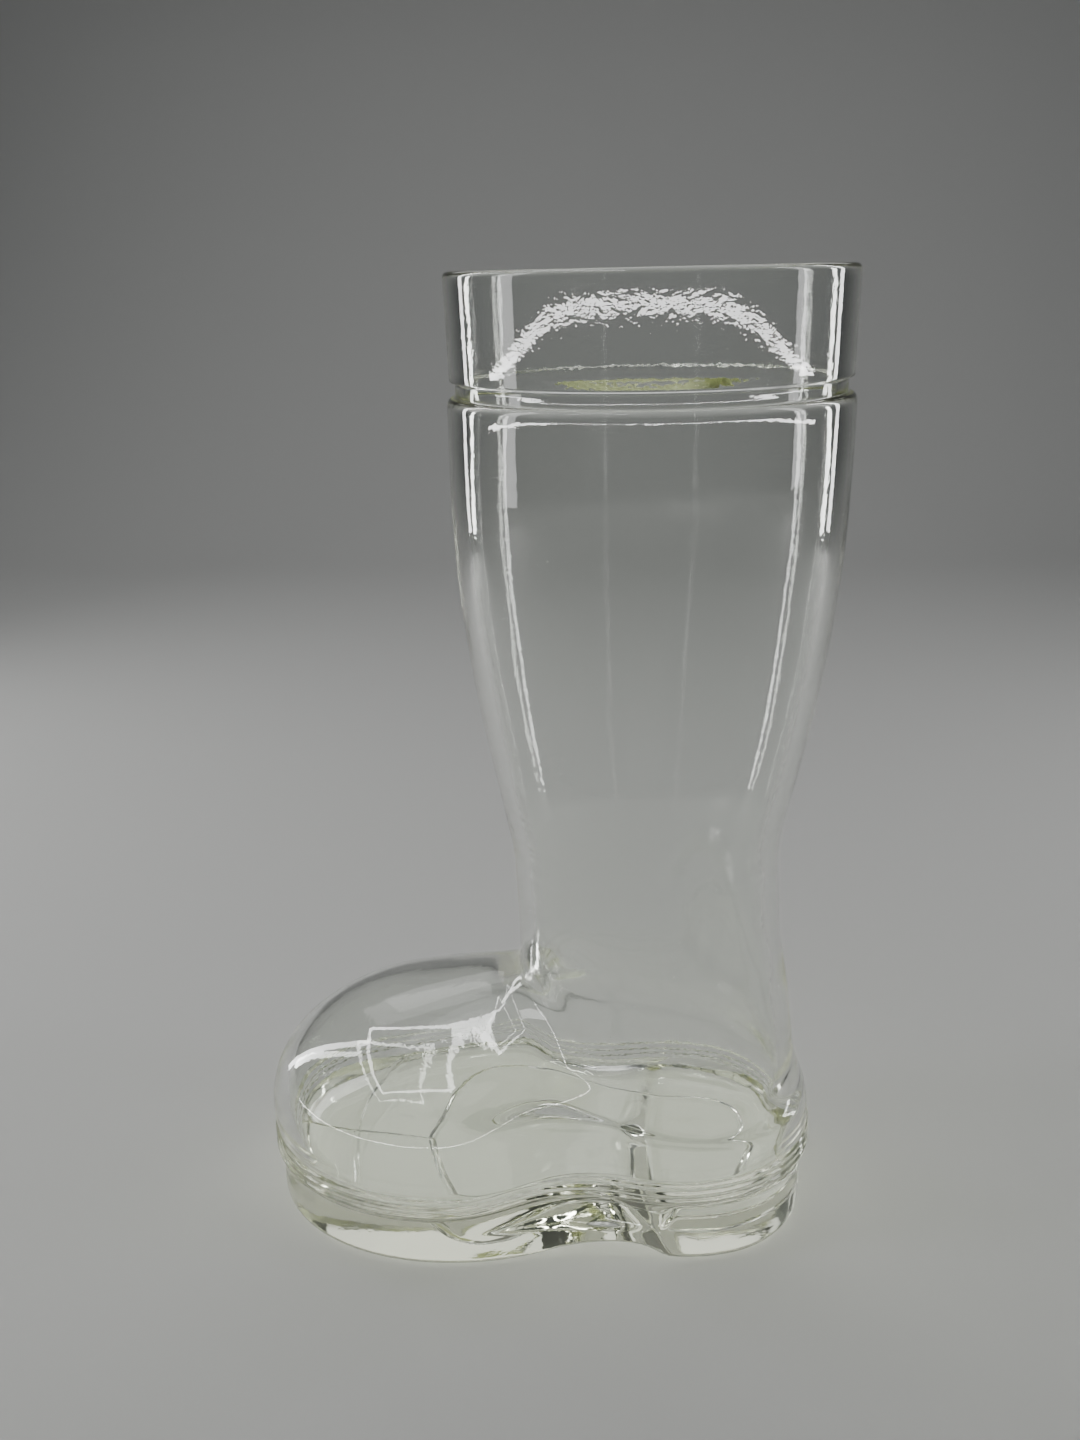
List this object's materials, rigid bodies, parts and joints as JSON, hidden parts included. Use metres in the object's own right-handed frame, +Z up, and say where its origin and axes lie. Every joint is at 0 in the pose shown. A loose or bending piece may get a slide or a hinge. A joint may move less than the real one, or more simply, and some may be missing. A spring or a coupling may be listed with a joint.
{
  "type": "boot-shaped drinking glass",
  "caption": "Clear glass drinking boot with a round flared leg, plain cuff at the rim, rounded toe and thick arched sole, for serving a beer.",
  "frame": {"origin": "on the table plane, under the middle of the glass's length and width", "axes": "+Z up, -X towards the toe, +X towards the heel, the glass is symmetrical about the plane y = 0"},
  "size_m": [0.132, 0.084, 0.209],
  "materials": {
    "glass": "clear pressed glass, glossy, with a faint hammered ripple",
    "thick_glass": "clear pressed glass, glossy, pale yellow-green where it is thick"
  },
  "bodies": {
    "root": {"cuff": "glass", "leg": "glass", "foot": "glass", "sole": "thick_glass"}
  },
  "joints": []
}
